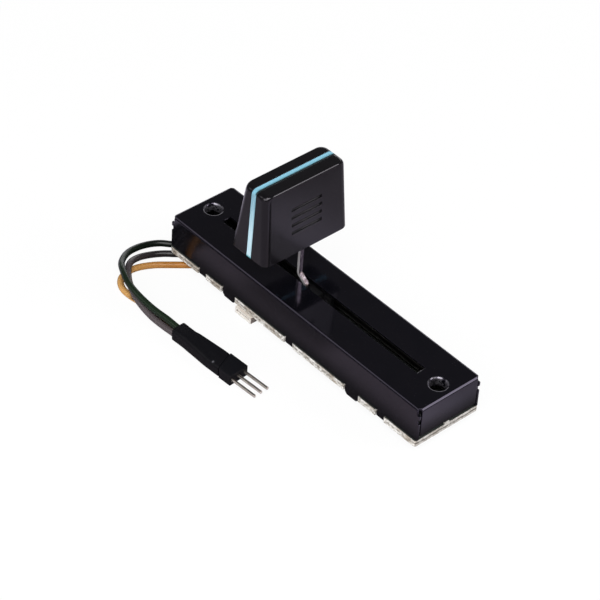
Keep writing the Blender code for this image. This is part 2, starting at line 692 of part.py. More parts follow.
def knob_levels():
    """Heights of the knob's sections, close together where its edges turn."""
    low = [KNOB_EDGE_RADIUS * (1.0 - math.cos(math.pi / 2 * k / 3)) for k in range(4)]
    turn = [KNOB_HEIGHT - KNOB_SHOULDER_RADIUS * (1.0 - math.sin(math.pi / 2 * k / CURVE_STEPS))
            for k in range(CURVE_STEPS)]
    tip = [KNOB_HEIGHT - KNOB_EDGE_RADIUS * (1.0 - math.sin(math.pi / 2 * k / 3)) for k in range(4)]
    return sorted(set(low + [KNOB_HEIGHT / 2.0] + turn + tip))


def knob_depth(level, base, top):
    """How far a half reaches from the stripe's middle at a height above the knob's base."""
    share = level / KNOB_HEIGHT
    edge = shrink(level, KNOB_EDGE_RADIUS) + shrink(KNOB_HEIGHT - level, KNOB_EDGE_RADIUS)
    return base * (1.0 - share) + top * share - edge


def knob_half_width(level):
    share = level / KNOB_HEIGHT
    shoulder = shrink(KNOB_HEIGHT - level, KNOB_SHOULDER_RADIUS) + shrink(level, KNOB_EDGE_RADIUS)
    return (KNOB_BASE_WIDTH * (1.0 - share) + KNOB_TOP_WIDTH * share) / 2.0 - shoulder


def knob_half_mesh(name, base, top):
    """One half of the knob: a loft through D-shaped sections, flat against the stripe."""
    bm = bmesh.new()
    flat = STRIPE_THICKNESS / 2.0 + SEAT_GAP
    rings = []
    for level in knob_levels():
        thick = knob_depth(level, base, top)
        wide = knob_half_width(level)
        corner = min(KNOB_CORNER_RADIUS, thick - flat - SEAT_GAP)
        right = arc((thick - corner, wide - corner), corner, 90.0, 0.0, CURVE_STEPS)
        points = [(flat, wide)] + right + [(x, -y) for x, y in reversed(right)] + [(flat, -wide)]
        rings.append([bm.verts.new((x, y, level)) for x, y in points])
    count = len(rings[0])
    for lower, upper in zip(rings, rings[1:]):
        for k in range(count):
            after = (k + 1) % count
            bm.faces.new((lower[k], lower[after], upper[after], upper[k]))
    bm.faces.new(rings[0])
    bm.faces.new(rings[-1])
    return mesh_from(bm, name)


def groove_cutters():
    """Plain grip grooves across the middle of the knob's front face."""
    slope = math.atan2(KNOB_FRONT_BASE - KNOB_FRONT_TOP, KNOB_HEIGHT)
    tools = []
    for k in range(GROOVE_COUNT):
        level = KNOB_HEIGHT / 2.0 + (k - (GROOVE_COUNT - 1) / 2.0) * GROOVE_PITCH
        thick = knob_depth(level, KNOB_FRONT_BASE, KNOB_FRONT_TOP)
        tool = box_mesh("groove", (-GROOVE_DEPTH, -GROOVE_LENGTH / 2.0, -GROOVE_WIDTH / 2.0),
                        (GROOVE_DEPTH, GROOVE_LENGTH / 2.0, GROOVE_WIDTH / 2.0))
        tool.transform(Matrix.Translation((thick, 0.0, level)) @ Matrix.Rotation(-slope, 4, "Y"))
        tools.append(tool)
    return tools


def coring_cutters(base, top):
    """Pockets that keep the moulding's walls even, to both sides of the stem."""
    flat = STRIPE_THICKNESS / 2.0 + SEAT_GAP + CORING_WALL
    thick = knob_depth(CORING_DEPTH, base, top)
    wide = knob_half_width(CORING_DEPTH)
    inner = STEM_WIDTH / 2.0 + CORING_WALL
    tools = []
    for sign in (-1.0, 1.0):
        ys = sorted((sign * inner, sign * (wide - KNOB_CORNER_RADIUS)))
        tools.append(box_mesh("coring", (flat, ys[0], -CORING_DEPTH),
                              (thick - CORING_WALL, ys[1], CORING_DEPTH)))
    return tools


def build_knob(parts, black, blue, slider):
    """Two moulded halves with a coloured plate between them."""
    base = Z_COVER_TOP + KNOB_LIFT - Z_ROD
    place = (KNOB_X, 0.0, base)
    mesh = knob_half_mesh("knob_front_half", KNOB_FRONT_BASE, KNOB_FRONT_TOP)
    front = link(parts, "knob_front_half", mesh, black, place, slider)
    half_x = STEM_THICKNESS / 2.0 + SEAT_GAP
    half_y = STEM_WIDTH / 2.0 + SEAT_GAP
    head = STEM_HEAD_X - KNOB_X
    socket = box_mesh("stem_socket", (head - half_x, -half_y, -STEM_HEAD_DEPTH),
                      (head + half_x, half_y, STEM_HEAD_DEPTH))
    cuts = groove_cutters() + coring_cutters(KNOB_FRONT_BASE, KNOB_FRONT_TOP)
    combine(front, "DIFFERENCE", cuts + [socket])
    mesh = knob_half_mesh("knob_rear_half", KNOB_REAR_BASE, KNOB_REAR_TOP)
    rear = link(parts, "knob_rear_half", mesh, black, place, slider)
    rear.rotation_euler = (0.0, 0.0, math.pi)
    combine(rear, "DIFFERENCE", coring_cutters(KNOB_REAR_BASE, KNOB_REAR_TOP))
    right = [(knob_half_width(level), level) for level in knob_levels()]
    outline = right + [(-y, z) for y, z in reversed(right)]
    mesh = outline_mesh("knob_stripe", outline, STRIPE_THICKNESS, "YZ")
    stripe = link(parts, "knob_stripe", mesh, blue, place, slider)
    for piece in (front, rear, stripe):
        smooth(piece)


# Under the board

def build_socket(parts, material):
    """A small side-entry part at the board's front edge, with a slot along its face."""
    front = -CASE_WIDTH / 2.0 - SOCKET_STICK_OUT
    high = Z_BOARD_BOTTOM - SEAT_GAP
    low = high - SOCKET_HEIGHT
    middle = SOCKET_INSET - CASE_LENGTH / 2.0
    left, right = middle - SOCKET_LENGTH / 2.0, middle + SOCKET_LENGTH / 2.0
    mesh = box_mesh("side_socket", (left, front, low), (right, front + SOCKET_DEPTH, high))
    socket = link(parts, "side_socket", mesh, material)
    third = SOCKET_HEIGHT / 3.0
    mouth = box_mesh("mouth", (left + third, front - third, low + third),
                     (right - third, front + SOCKET_DEPTH / 3.0, high - third))
    combine(socket, "DIFFERENCE", [mouth])


def solder_place(route):
    """A joint sits just past the wire's first point, in line with it."""
    first, second = Vector(route[0]), Vector(route[1])
    run = Vector((first.x - second.x, first.y - second.y, 0.0)).normalized()
    return first + run * (SOLDER_RADIUS + SEAT_GAP * 2.0)


def build_solder(parts, material):
    for name, route in (("solder_green", GREEN_ROUTE), ("solder_grey", GREY_ROUTE),
                        ("solder_orange", ORANGE_ROUTE)):
        place = solder_place(route)
        profile = [(0.0, 0.0), (SOLDER_RADIUS, 0.0)]
        profile += [(SOLDER_RADIUS * math.cos(a), -SOLDER_HEIGHT * math.sin(a))
                    for a in (math.pi / 2 * k / 5 for k in range(1, 5))]
        profile.append((0.0, -SOLDER_HEIGHT))
        mesh = turned_mesh(name, profile, 16)
        smooth(link(parts, name, mesh, material, (place.x, place.y, Z_BOARD_BOTTOM - SEAT_GAP)))


# Wires and plug

def curve_through(route, step):
    """A smooth curve through hand-chosen points, read off at an even step."""
    spots = [Vector(spot) for spot in route]
    spots = [2 * spots[0] - spots[1]] + spots + [2 * spots[-1] - spots[-2]]
    fine = []
    parts_per_span = 16
    for a, b, c, d in zip(spots, spots[1:], spots[2:], spots[3:]):
        for k in range(parts_per_span):
            t = k / parts_per_span
            fine.append(0.5 * (2 * b + (c - a) * t + (2 * a - 5 * b + 4 * c - d) * t ** 2
                               + (3 * b - a - 3 * c + d) * t ** 3))
    fine.append(spots[-2])
    total = sum((b - a).length for a, b in zip(fine, fine[1:]))
    count = max(2, round(total / step))
    marks = [total * k / count for k in range(count + 1)]
    result = [fine[0]]
    walked = 0.0
    for a, b in zip(fine, fine[1:]):
        span = (b - a).length
        while len(result) < count and marks[len(result)] <= walked + span:
            result.append(a.lerp(b, (marks[len(result)] - walked) / span))
        walked += span
    result.append(fine[-1])
    return result


def build_wires(parts, colours):
    for name, route in (("wire_green", GREEN_ROUTE), ("wire_grey", GREY_ROUTE),
                        ("wire_orange", ORANGE_ROUTE)):
        curve = bpy.data.curves.new(name, "CURVE")
        curve.dimensions = "3D"
        curve.bevel_depth = WIRE_DIAMETER / 2.0
        curve.bevel_resolution = 2
        curve.use_fill_caps = True
        points = curve_through(route, WIRE_STEP)
        spline = curve.splines.new("POLY")
        spline.points.add(len(points) - 1)
        for spot, place in zip(spline.points, points):
            spot.co = (*place, 1.0)
        curve.materials.append(colours[name])
        wire = bpy.data.objects.new(name, curve)
        parts.objects.link(wire)


def rounded_rectangle(width, height, corner, steps=3):
    """Points of an upright rectangle with rounded corners about its middle."""
    quarter = arc((width / 2.0 - corner, height / 2.0 - corner), corner, 0.0, 90.0, steps)
    points = quarter + [(-y, z) for y, z in reversed(quarter)] + [(-y, -z) for y, z in quarter]
    return points + [(y, -z) for y, z in reversed(quarter)]


def build_block(parts, material, plug):
    """The header's moulded block, with a neck behind it that the sleeve grips."""
    half = BLOCK_WIDTH / 2.0
    low, high = PLUG_MIDDLE - BLOCK_HEIGHT / 2.0, PLUG_MIDDLE + BLOCK_HEIGHT / 2.0
    mesh = box_mesh("plug_block", (-BLOCK_LENGTH, -half, low), (0.0, half, high))
    block = link(parts, "plug_block", mesh, material, parent=plug)
    wall = SLEEVE_SHEET + SEAT_GAP
    _, shift, width, height = SLEEVE_SECTIONS[0]
    outline = [(y + shift, z) for y, z in
               rounded_rectangle(width - wall * 2.0, height - wall * 2.0, SLEEVE_CORNER - wall)]
    length = BLOCK_NECK_LENGTH + BLOCK_LENGTH / 2.0
    middle = -BLOCK_LENGTH / 2.0 - length / 2.0
    neck = outline_mesh("neck", outline, length, "YZ", (middle, 0.0, PLUG_MIDDLE))
    combine(block, "UNION", [neck])
    return block


def build_sleeve(parts, material, plug):
    """A thin tube shrunk over the block's neck and the wires' ends: a loft through sections."""
    bm = bmesh.new()
    rings = []
    for number, (x, shift, width, height) in enumerate(SLEEVE_SECTIONS):
        lean = SLEEVE_BIAS if number == 0 else 0.0
        corner = SLEEVE_CORNER * height / SLEEVE_SECTIONS[0][3]
        points = rounded_rectangle(width, height, corner)
        ring = [(x - lean * y / (width / 2.0), y + shift, height / 2.0 + z) for y, z in points]
        rings.append([bm.verts.new(point) for point in ring])
    count = len(rings[0])
    for front, rear in zip(rings, rings[1:]):
        for k in range(count):
            after = (k + 1) % count
            bm.faces.new((front[k], front[after], rear[after], rear[k]))
    sleeve = link(parts, "plug_sleeve", mesh_from(bm, "plug_sleeve"), material, parent=plug)
    skin = sleeve.modifiers.new("skin", "SOLIDIFY")
    skin.thickness = SLEEVE_SHEET
    skin.offset = -1.0
    skin.use_even_offset = True
    smooth(sleeve)


def build_plug(parts, black, sleeve_black, tin):
    """A header block with three square pins, held in a shrunk sleeve."""
    plug = bpy.data.objects.new("plug_axis", None)
    parts.objects.link(plug)
    plug.location = (PLUG_FRONT_X, PLUG_Y, 0.0)
    plug.rotation_euler = (0.0, 0.0, PLUG_TURN)
    block = build_block(parts, black, plug)
    rear = -BLOCK_LENGTH - BLOCK_NECK_LENGTH - PIN_TAIL
    size = PIN_SIZE / 2.0
    bore = size + SEAT_GAP
    low, high = PLUG_MIDDLE - bore, PLUG_MIDDLE + bore
    bores = []
    for name, y in (("pin_front", -PIN_PITCH), ("pin_middle", 0.0), ("pin_rear", PIN_PITCH)):
        mesh = box_mesh(name, (rear, y - size, PLUG_MIDDLE - size),
                        (PIN_REACH, y + size, PLUG_MIDDLE + size))
        pin = link(parts, name, mesh, tin, parent=plug)
        point = pin.modifiers.new("point", "BEVEL")
        point.width = PIN_SIZE / 5.0
        point.segments = 1
        bores.append(box_mesh("pin_bore", (rear, y - bore, low), (PIN_REACH, y + bore, high)))
    combine(block, "DIFFERENCE", bores)
    build_sleeve(parts, sleeve_black, plug)


def main():
    clear_scene()
    parts = bpy.data.collections.new("slide_potentiometer")
    bpy.context.scene.collection.children.link(parts)
    cutters = bpy.data.collections.new("cutters")
    bpy.context.scene.collection.children.link(cutters)
    slider = bpy.data.objects.new("slider_axis", None)
    parts.objects.link(slider)
    slider.location = (REST_X, 0.0, Z_ROD)

    black_paint = make_material("black_paint", (0.012, 0.012, 0.016), 0.12, 0.3)
    board_epoxy = make_material("board_epoxy", (0.62, 0.60, 0.52), 0.6)
    steel = make_material("browned_steel", (0.06, 0.055, 0.05), 0.3, 1.0)
    nickel = make_material("stem_nickel", (0.70, 0.69, 0.68), 0.2, 1.0)
    acetal = make_material("dark_acetal", (0.03, 0.03, 0.035), 0.45)
    rubber = make_material("stop_rubber", (0.02, 0.02, 0.02), 0.8)
    bronze = make_material("spring_bronze", (0.70, 0.45, 0.22), 0.3, 1.0)
    carbon = make_material("carbon_ink", (0.02, 0.02, 0.02), 0.6)
    silver = make_material("silver_ink", (0.70, 0.70, 0.68), 0.4, 0.8)
    knob_black = make_material("knob_black", (0.022, 0.021, 0.025), 0.35)
    knob_blue = make_material("knob_blue", (0.20, 0.56, 0.72), 0.4)
    cream = make_material("cream_plastic", (0.80, 0.75, 0.66), 0.5)
    tin = make_material("tin_plate", (0.66, 0.63, 0.56), 0.3, 1.0)
    plug_black = make_material("plug_black", (0.012, 0.012, 0.014), 0.5)
    sleeve_black = make_material("sleeve_black", (0.010, 0.010, 0.011), 0.55)
    wires = {
        "wire_green": make_material("wire_green_skin", (0.012, 0.045, 0.018), 0.4),
        "wire_grey": make_material("wire_grey_skin", (0.07, 0.06, 0.07), 0.4),
        "wire_orange": make_material("wire_orange_skin", (0.55, 0.27, 0.03), 0.4),
    }

    build_cover(parts, black_paint)
    build_board(parts, board_epoxy)
    build_tracks(parts, carbon, silver)
    build_rods(parts, steel)
    build_holders(parts, acetal)
    build_bumpers(parts, rubber)
    build_carriage(parts, acetal, slider)
    build_stem(parts, nickel, slider)
    build_wipers(parts, bronze, slider)
    build_knob(parts, knob_black, knob_blue, slider)
    build_socket(parts, cream)
    build_solder(parts, tin)
    build_wires(parts, wires)
    build_plug(parts, plug_black, sleeve_black, tin)
    bpy.context.view_layer.update()


main()
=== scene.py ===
"""Looks of the slide potentiometer: paint, plastics, metal, wires, light and camera."""
import json
import math

import bpy
from mathutils import Matrix, Vector


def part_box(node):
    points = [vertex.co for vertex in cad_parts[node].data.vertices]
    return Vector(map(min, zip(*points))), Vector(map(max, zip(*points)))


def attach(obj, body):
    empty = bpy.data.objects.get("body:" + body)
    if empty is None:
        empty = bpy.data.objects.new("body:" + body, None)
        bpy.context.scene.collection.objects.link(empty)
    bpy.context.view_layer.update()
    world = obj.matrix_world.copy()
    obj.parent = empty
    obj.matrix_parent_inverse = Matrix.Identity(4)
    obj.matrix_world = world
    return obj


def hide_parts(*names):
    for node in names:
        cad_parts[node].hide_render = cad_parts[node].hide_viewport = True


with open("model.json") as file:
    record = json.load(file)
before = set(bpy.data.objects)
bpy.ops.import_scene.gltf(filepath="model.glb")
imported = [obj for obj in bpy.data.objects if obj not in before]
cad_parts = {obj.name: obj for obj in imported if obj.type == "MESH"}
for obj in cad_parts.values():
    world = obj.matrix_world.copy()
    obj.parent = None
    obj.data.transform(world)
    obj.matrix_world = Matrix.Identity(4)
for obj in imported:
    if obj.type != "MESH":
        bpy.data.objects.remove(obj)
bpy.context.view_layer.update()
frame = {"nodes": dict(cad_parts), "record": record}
NODES = frame["nodes"]

# Camera, at the photo's viewing angle
CAMERA_PLACE = (0.22522, -0.22201, 0.28127)
CAMERA_RIGHT = (0.65971, 0.74969, 0.0525)
CAMERA_UP = (-0.51851, 0.40348, 0.75389)
CAMERA_LENS = 153.82
CAMERA_SENSOR = 36.0
CAMERA_NEAR = 0.01

# Lamps: place, width, height and power of each
LAMPS = {
    "front_softbox": ((0.22, -0.56, 0.44), 0.70, 0.50, 3.4),
    "right_softbox": ((0.62, 0.46, 0.44), 0.36, 0.70, 4.6),
    "top_softbox": ((0.30, -0.24, 0.66), 0.40, 0.40, 3.2),
    "rear_strip": ((-0.56, 0.60, 0.20), 0.80, 0.24, 1.3),
    "left_softbox": ((-0.45, -0.55, 0.46), 0.30, 0.30, 0.45),
}
LAMP_TARGET = (0.0, 0.0, 0.005)

# Surround: what the camera sees is white, what lights the part is dim
PURE_WHITE = (1.0, 1.0, 1.0, 1.0)
WORLD_SEEN = 1.0
WORLD_FILL = 0.11
FLOOR_SIZE = 4.0
FLOOR_Z = -0.00002
FLOOR_ALBEDO = 0.92
FLOOR_GLOW = 0.93

# Half the case's length and half its width
CASE_HALF = (0.0304, 0.00665)

# Mirrored floor, painted light and shade for reflections: grey in front of the case, paler past its ends
# and behind it, dimmer far off.
# From here on a pair of places is a soft step, from where a change begins to where it is whole.
FLOOR_GREY = (0.46, 0.40, 0.45)
FLOOR_PALE = (0.70, 0.65, 0.79)
FLOOR_DARK = (0.12, 0.11, 0.11)
FLOOR_FAR = (0.35, 0.32, 0.37)
PALE_FROM_Y = (-0.004, 0.008)
PALE_FROM_RIGHT = (0.028, 0.040)
PALE_FROM_LEFT = (-0.0335, -0.0365)
FAR = (0.015, 0.032)

# Shades on the mirrored floor: close to the case, behind its right corner, beside the plug and the wires
CLOSE = (0.0018, 0.0054)
CORNER_SHADE_FROM = (0.0002, 0.0100)
CORNER_SHADE = 0.45
PLUG_SHADE_RIGHT = (0.006, 0.001)
PLUG_SHADE_LEFT = (-0.022, -0.014)
PLUG_SHADE_FROM = (-0.0095, -0.0125)
PLUG_SHADE = 0.7
WIRES_SHADE_RIGHT = (-0.0282, -0.0300)
WIRES_SHADE_LEFT = (-0.0375, -0.0355)
WIRES_SHADE_FROM = (-0.0070, -0.0085)
SHADE_END = (-0.024, -0.018)

# Screw holes: their place on each side, and the radius inside which the paint is worn
SCREW_HOLE_X = 0.0275
BORE_WEAR = (0.00178, 0.00152)

# Circuit board: the dark ply in the middle of its sawn edge, its half thickness and its wander
BOARD_MIDDLE_Z = 0.0020
PLY_EDGE = (0.00022, 0.00008)
PLY_WANDER = 0.0004

# Knob stripe: how far up its foot is teal, and the share of its height that a painted sheen turns fully
# pale
STRIPE_FOOT = (0.0006, 0.0002)
STRIPE_SHEEN_SHARE = 0.20

# Depth of the relief on each kind of surface
PEEL_DEPTH = 0.0000022
WEAVE_DEPTH = 0.000006
KNOB_GRAIN_DEPTH = 0.0000045
DRAWN_DEPTH = 0.000004
MARKS_DEPTH = 0.000003
MOULD_DEPTH = 0.000004
BAND_DEPTH = 0.000008
SKIN_DEPTH = 0.000006
CREASE_DEPTH = 0.000012

# Edge rounding of each piece, as wide as its tools and dies leave it
EDGE_ROUND = {
    "case_cover": 0.00006, "circuit_board": 0.00003, "stem": 0.00005,
    "knob_front_half": 0.00006, "knob_rear_half": 0.00006, "knob_stripe": 0.00005,
    "plug_block": 0.00012, "side_socket": 0.00005, "rod_holder_left": 0.00008,
    "rod_holder_right": 0.00008, "carriage": 0.00008, "plug_sleeve": 0.00003,
    "pin_front": 0.00002, "pin_middle": 0.00002, "pin_rear": 0.00002,
}
EDGE_STEPS = 2
EDGE_ANGLE = math.radians(32.0)

# Before the rounding: points this close together are welded, and the facets of a flat face become one
WELD = 0.000001
COVER_WELD = 0.00002
FLAT_ANGLE = math.radians(0.6)

# Even shading: how much more a large face counts than the small rounds beside it
FLAT_WEIGHT = 80

# Wires: their size, how finely they are drawn, and the routes of the part's source
WIRE_DIAMETER = 0.00115
WIRE_STEP = 0.0006
WIRE_ROUND = 8
WIRE_ROUTES = {
    "wire_green": (
        (-0.02890, -0.00090, 0.00072), (-0.03050, -0.00290, 0.00066), (-0.03230, -0.00500, 0.00066),
        (-0.03365, -0.00640, 0.00070), (-0.03450, -0.00830, 0.00085), (-0.03465, -0.01080, 0.00125),
        (-0.03390, -0.01350, 0.00185), (-0.03195, -0.01615, 0.00255), (-0.02935, -0.01775, 0.00300),
        (-0.02660, -0.01884, 0.00300), (-0.02330, -0.01932, 0.00279), (-0.01980, -0.01917, 0.00229),
        (-0.01640, -0.01875, 0.00200), (-0.01440, -0.01863, 0.00184), (-0.01100, -0.01845, 0.00182),
    ),
    "wire_grey": (
        (-0.02690, -0.00220, 0.00072), (-0.02840, -0.00410, 0.00062), (-0.02985, -0.00600, 0.00062),
        (-0.03120, -0.00760, 0.00062), (-0.03230, -0.00970, 0.00070), (-0.03255, -0.01220, 0.00115),
        (-0.03155, -0.01475, 0.00184), (-0.02945, -0.01670, 0.00184), (-0.02690, -0.01820, 0.00184),
        (-0.02330, -0.01940, 0.00165), (-0.01970, -0.01968, 0.00110), (-0.01660, -0.01946, 0.00082),
        (-0.01440, -0.01926, 0.00080), (-0.01100, -0.01906, 0.00080),
    ),
    "wire_orange": (
        (-0.02360, -0.00260, 0.00072), (-0.02480, -0.00420, 0.00060), (-0.02620, -0.00600, 0.00060),
        (-0.02850, -0.00890, 0.00060), (-0.02990, -0.01080, 0.00060), (-0.03095, -0.01300, 0.00060),
        (-0.03125, -0.01490, 0.00060), (-0.03085, -0.01680, 0.00060), (-0.02980, -0.01805, 0.00060),
        (-0.02810, -0.01880, 0.00060), (-0.02590, -0.01885, 0.00060), (-0.02320, -0.01845, 0.00060),
        (-0.01950, -0.01830, 0.00062), (-0.01650, -0.01816, 0.00070), (-0.01440, -0.01802, 0.00080),
        (-0.01100, -0.01784, 0.00080),
    ),
}

# Painted shade on the wires: where along Y the shade by the case gives way to their lit colour, and where
# along X the others shade the orange one's top
WIRE_OUT_OF_SHADE = (-0.0040, -0.0180)
SHADED_UNDER_X = (-0.0266, -0.0248)

# Plug: its other pieces, its axis, its block, the tolerance that finds the block's rear face,
# the sleeve's slanted edge, and the rubbed spot on the sleeve
PLUG_PLACE = (0.0004, -0.0177, 0.0)
PLUG_TURN = math.radians(3.2)
BLOCK_LENGTH = 0.0020
BLOCK_WIDTH = 0.0040
ON_REAR_FACE = 0.00001
SLEEVE_EDGE = 0.00335
SLEEVE_LEAN = 0.0007
RUBBED_SPOT = (-0.0039, -0.0195, 0.0020)
RUBBED_EDGE = (0.00034, 0.00014)


# Shader maths

class Value:
    """A node output that takes part in Python arithmetic."""

    def __init__(self, paint, socket):
        self.paint = paint
        self.socket = socket

    def math(self, operation, *others):
        inputs = dict(enumerate((self, *others)))
        return self.paint.node("ShaderNodeMath", {"operation": operation}, inputs)

    def __add__(self, other):
        return self.math("ADD", other)

    def __sub__(self, other):
        return self.math("SUBTRACT", other)

    def __mul__(self, other):
        return self.math("MULTIPLY", other)

    def __pow__(self, other):
        return self.math("POWER", other)

    __radd__ = __add__
    __rmul__ = __mul__

    def __rsub__(self, other):
        return self.paint.node("ShaderNodeMath", {"operation": "SUBTRACT"}, {0: other, 1: self})


class Paint:
    """A material under construction."""

    # Shader sockets whose names aren't Python names, and short names for two long ones
    SOCKETS = {"Base_Color": "Base Color", "Level": "Specular IOR Level", "Tint": "Specular Tint"}
    # Most of a noise lies between these two values
    NOISE_LOW = 0.3
    NOISE_HIGH = 0.7
    # The Mix node's sockets for colours, which share their names with those for numbers
    MIX_ONE = 6
    MIX_TWO = 7
    MIX_RESULT = 2

    def __init__(self, name):
        self.material = bpy.data.materials.new(name)
        self.material.use_nodes = True
        self.tree = self.material.node_tree
        self.shader = self.tree.nodes["Principled BSDF"]

    def feed(self, socket, value):
        """Link a node's output to a socket, or set a plain value on it."""
        if isinstance(value, Value):
            self.tree.links.new(value.socket, socket)
        else:
            socket.default_value = value

    def node(self, kind, settings=None, inputs=None, output=0):
        """Add a node: its type, its settings, what its sockets get, and the output that is used."""
        made = self.tree.nodes.new(kind)
        for key, value in (settings or {}).items():
            setattr(made, key, value)
        for key, value in (inputs or {}).items():
            self.feed(made.inputs[key], value)
        return Value(self, made.outputs[output])

    def place(self):
        """Where on the object the surface is, in metres."""
        return self.node("ShaderNodeTexCoord", output="Object")

    def axis(self, name):
        """Where on one axis the surface is."""
        return self.node("ShaderNodeSeparateXYZ", {}, {0: self.place()}, output=name)

    def facing(self, name):
        """How far the surface faces along an axis of the object."""
        normal = self.node("ShaderNodeTexCoord", output="Normal")
        return self.node("ShaderNodeSeparateXYZ", {}, {0: normal}, output=name)

    def sides(self, name, low, high):
        """1 where the surface faces an axis squarely, either way along it."""
        return self.step(self.facing(name).math("ABSOLUTE"), low, high)

    def noise(self, scale, detail=2.0, roughness=0.5, stretch=(1.0, 1.0, 1.0)):
        """Soft spots, so many to the metre. A stretch below 1 draws them out along that axis."""
        inputs = {0: self.place(), 1: stretch}
        vector = self.node("ShaderNodeVectorMath", {"operation": "MULTIPLY"}, inputs)
        inputs = {"Vector": vector, "Scale": scale, "Detail": detail, "Roughness": roughness}
        return self.node("ShaderNodeTexNoise", {}, inputs, output="Fac")

    def mix(self, factor, one, two):
        """One colour where the factor is 0, the other where it is 1."""
        one, two = [(*color, 1.0) if isinstance(color, tuple) else color for color in (one, two)]
        inputs = {"Factor": factor, self.MIX_ONE: one, self.MIX_TWO: two}
        return self.node("ShaderNodeMix", {"data_type": "RGBA"}, inputs, output=self.MIX_RESULT)

    def between(self, value, low, high, start=0.0, end=1.0):
        """A value carried evenly from one range to another."""
        inputs = {"Value": value, "From Min": low, "From Max": high, "To Min": start, "To Max": end}
        return self.node("ShaderNodeMapRange", {}, inputs)

    def spread(self, noise, low, high):
        """A noise brought to a range of roughness."""
        return self.between(noise, self.NOISE_LOW, self.NOISE_HIGH, low, high)

    def step(self, value, low, high):
        """A soft step from 0 to 1 between two values."""
        inputs = {"Value": value, "From Min": low, "From Max": high}
        return self.node("ShaderNodeMapRange", {"interpolation_type": "SMOOTHSTEP"}, inputs)

    def bump(self, height, distance, strength=1.0):
        """Relief from a height, as deep as the distance in metres."""
        inputs = {"Height": height, "Strength": strength, "Distance": distance}
        return self.set(Normal=self.node("ShaderNodeBump", {}, inputs, output="Normal"))

    def set(self, **values):
        """Feed the shader's own sockets."""
        for key, value in values.items():
            color = isinstance(value, tuple) and len(value) == 3
            self.feed(self.shader.inputs[self.SOCKETS.get(key, key)], (*value, 1.0) if color else value)
        return self


# Materials

def cover_paint():
    """Gloss stoved paint on folded sheet, with faint orange peel and dust, and worn screw holes."""
    paint = Paint("cover_paint")
    dust_grey = (0.25, 0.25, 0.27)
    bare_steel = (0.24, 0.23, 0.26)
    violet = (0.84, 0.74, 1.0)
    cloud = paint.noise(260.0, detail=3.0, roughness=0.6)
    dust = paint.step(paint.noise(5200.0, detail=1.0), 0.70, 0.80)
    inside = paint.step(paint.facing("Z"), -0.5, -0.9)
    long_sides = paint.sides("Y", 0.6, 0.9)
    from_hole = paint.axis("X").math("ABSOLUTE") - SCREW_HOLE_X
    bore = paint.step((from_hole ** 2.0 + paint.axis("Y") ** 2.0) ** 0.5, *BORE_WEAR)
    worn = bore * paint.step(paint.noise(1300.0, roughness=0.6), 0.40, 0.56)
    color = paint.mix(cloud, (0.0016, 0.0018, 0.0030), (0.0034, 0.0032, 0.0044))
    color = paint.mix(dust * 0.05, color, dust_grey)
    color = paint.mix(worn, color, bare_steel)
    rough = paint.spread(cloud, 0.075, 0.13) + long_sides * 0.07
    rough = rough + dust * 0.2 + inside * 0.3 + worn * 0.28
    paint.set(Base_Color=color, Metallic=worn, Roughness=rough, Level=0.42, Tint=violet)
    peel = paint.noise(1500.0, detail=1.0) + paint.noise(420.0, detail=1.0) * 2.0
    return paint.bump(peel, PEEL_DEPTH).material


def board_edge(paint, fibre):
    """The board's sawn edge: mottled cream, greyer at its ends, with one dark ply."""
    brown_fibre = (0.28, 0.23, 0.18)
    brown_speck = (0.20, 0.165, 0.13)
    grey_end = (0.25, 0.23, 0.21)
    dark_ply = (0.075, 0.060, 0.048)
    patch = paint.noise(380.0, detail=4.0, roughness=0.6, stretch=(1.0, 1.0, 0.8))
    speck = paint.noise(1500.0, detail=3.0, roughness=0.7, stretch=(1.0, 1.0, 1.6))
    end = paint.sides("X", 0.5, 0.9)
    edge = paint.mix(paint.step(patch, 0.38, 0.56), (0.46, 0.41, 0.35), (0.84, 0.82, 0.79))
    edge = paint.mix(paint.step(fibre, 0.50, 0.62) * 0.40, edge, brown_fibre)
    edge = paint.mix(paint.step(speck, 0.50, 0.58) * 0.70, edge, brown_speck)
    edge = paint.mix(end * 0.55, edge, grey_end)
    wander = (paint.noise(700.0) - 0.5) * PLY_WANDER
    ply = paint.step((paint.axis("Z") - BOARD_MIDDLE_Z - wander).math("ABSOLUTE"), *PLY_EDGE)
    broken = paint.step(speck, 0.36, 0.52) * 0.5 + end * 0.4
    return paint.mix(ply * broken, edge, dark_ply)


def board_epoxy():
    """Glass-epoxy: a top painted dark for the shade under the cover, a green underside and a sawn cream
    edge.
    """
    paint = Paint("board_look")
    fibre = paint.noise(2600.0, roughness=0.6, stretch=(1.0, 1.0, 4.0))
    warp = paint.noise(1800.0, detail=1.0, stretch=(1.0, 0.15, 1.0))
    weft = paint.noise(1800.0, detail=1.0, stretch=(0.15, 1.0, 1.0))
    weave = warp * 0.5 + weft * 0.5
    top = paint.step(paint.facing("Z"), 0.6, 0.9)
    under = paint.step(paint.facing("Z"), -0.6, -0.9)
    # Painted shade: the top is coloured dark for the shade it lies in under the cover
    shaded_top = paint.mix(paint.noise(700.0), (0.020, 0.023, 0.021), (0.032, 0.036, 0.032))
    green = paint.mix(weave, (0.018, 0.075, 0.040), (0.035, 0.115, 0.060))
    color = paint.mix(top, board_edge(paint, fibre), shaded_top)
    color = paint.mix(under, color, green)
    paint.set(Base_Color=color, Roughness=paint.between(under, 0.0, 1.0, 0.7, 0.28), Level=0.35)
    return paint.bump(fibre + weave, WEAVE_DEPTH, 0.6).material


